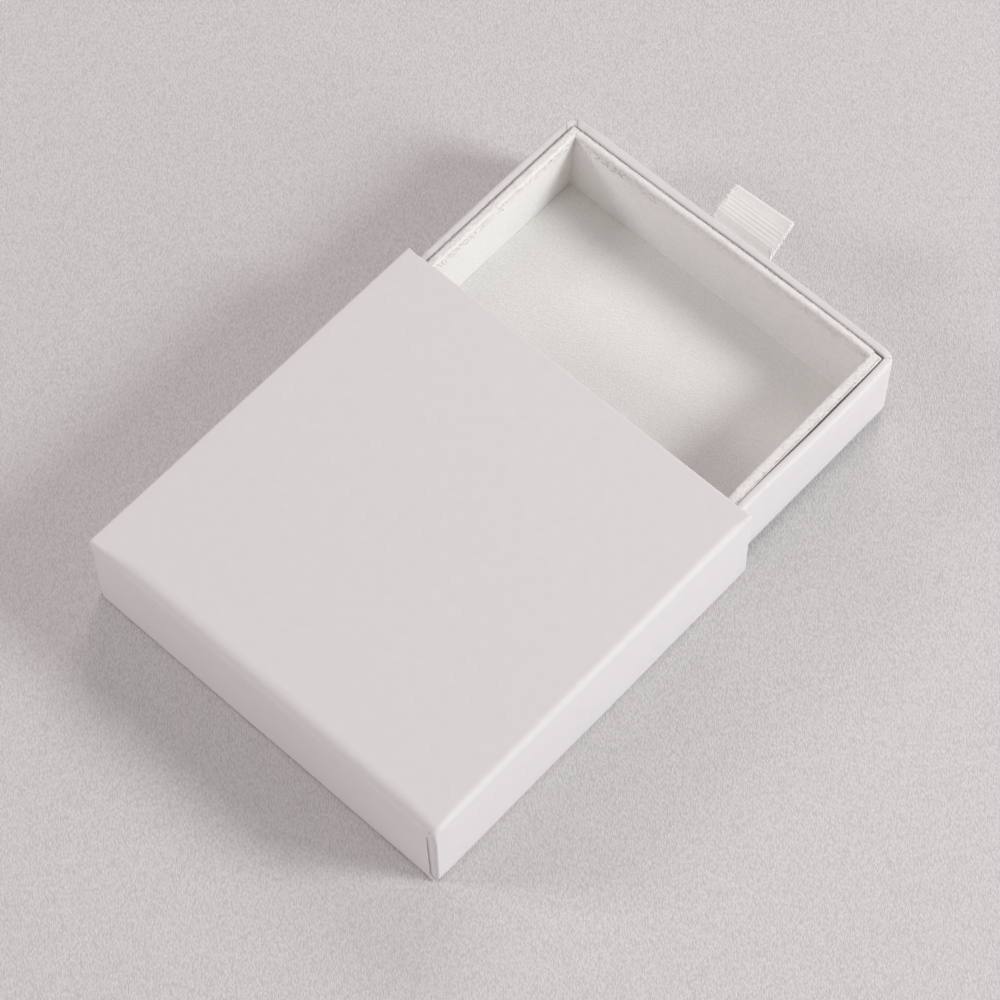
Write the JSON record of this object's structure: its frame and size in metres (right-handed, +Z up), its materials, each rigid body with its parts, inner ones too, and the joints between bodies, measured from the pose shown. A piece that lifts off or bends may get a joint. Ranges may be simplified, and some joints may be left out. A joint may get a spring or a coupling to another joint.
{
  "type": "slide-out jewelry gift box",
  "caption": "Paper-wrapped slide-out gift box: an outer sleeve, a sliding tray with a flocked liner, and a ribbon loop to pull it open.",
  "frame": {"origin": "centre of the sleeve's underside, on the surface that the box stands on", "axes": "+Z up; +Y towards the sleeve's closed end, so the tray pulls out along -Y; +X across"},
  "size_m": [0.09, 0.1457, 0.0234],
  "materials": {
    "art_paper": "white art paper, matt",
    "board": "grey board",
    "flocking": "white flocked paper",
    "ribbon": "off-white grosgrain"
  },
  "bodies": {
    "sleeve": {"sleeve_base_paper": "art_paper", "sleeve_wrap": "art_paper", "sleeve_base_board": "board", "sleeve_left_board": "board", "sleeve_right_board": "board", "sleeve_top_end_board": "board"},
    "tray": {"tray_wrap": "art_paper", "tray_base_board": "board", "tray_front_board": "board", "tray_back_board": "board", "tray_left_board": "board", "tray_right_board": "board", "liner_floor_board": "board", "liner_front_board": "board", "liner_back_board": "board", "liner_left_board": "board", "liner_right_board": "board", "liner_floor_flock": "flocking", "liner_front_flock": "flocking", "liner_back_flock": "flocking", "liner_left_flock": "flocking", "liner_right_flock": "flocking", "ribbon_lower_tail": "ribbon", "ribbon_upper_tail": "ribbon"},
    "ribbon": {"ribbon_loop": "ribbon"}
  },
  "joints": [
    {"name": "tray_slide", "type": "slide", "parent": "sleeve", "child": "tray", "axis": [0, -1, 0], "range_m": [-0.0469, 0.036]},
    {"name": "ribbon_flex", "type": "hinge", "parent": "tray", "child": "ribbon", "pos_m": [0, -0.0921, 0.0151], "axis": [1, 0, 0], "range_deg": [-45, 60], "stiffness_Nm_per_rad": 0.0002}
  ]
}
